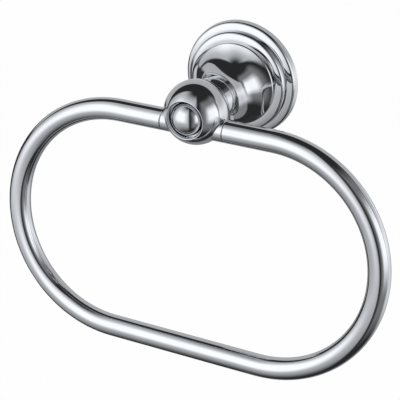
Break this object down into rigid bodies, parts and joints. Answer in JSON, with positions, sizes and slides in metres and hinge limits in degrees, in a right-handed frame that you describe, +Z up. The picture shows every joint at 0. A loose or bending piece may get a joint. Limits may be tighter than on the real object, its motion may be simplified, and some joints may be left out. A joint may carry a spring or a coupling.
{
  "type": "towel ring",
  "caption": "Wall-mounted towel ring: a wide oval ring of bright tube held by a ball head on a trumpet post and a stepped round rose with a concealed fixing.",
  "frame": {"origin": "centre of the bracket's back face, on the wall", "axes": "+Y into the wall, +X along the ring's top run, +Z up"},
  "size_m": [0.1894, 0.0644, 0.1424],
  "materials": {
    "chrome_casting": "cast brass, polished and bright chrome plated",
    "chrome_tube": "drawn brass tube, bent, polished and bright chrome plated",
    "zinc_plated_steel": "turned steel, bright zinc plated",
    "screw_steel": "plain stainless steel screw"
  },
  "bodies": {
    "root": {"wall_bracket": "zinc_plated_steel", "rose_post": "chrome_casting", "bracket_grub_screw": "screw_steel", "ball_head": "chrome_casting", "head_screw": "screw_steel", "front_button": "chrome_casting", "ring_tube": "chrome_tube"}
  },
  "joints": []
}
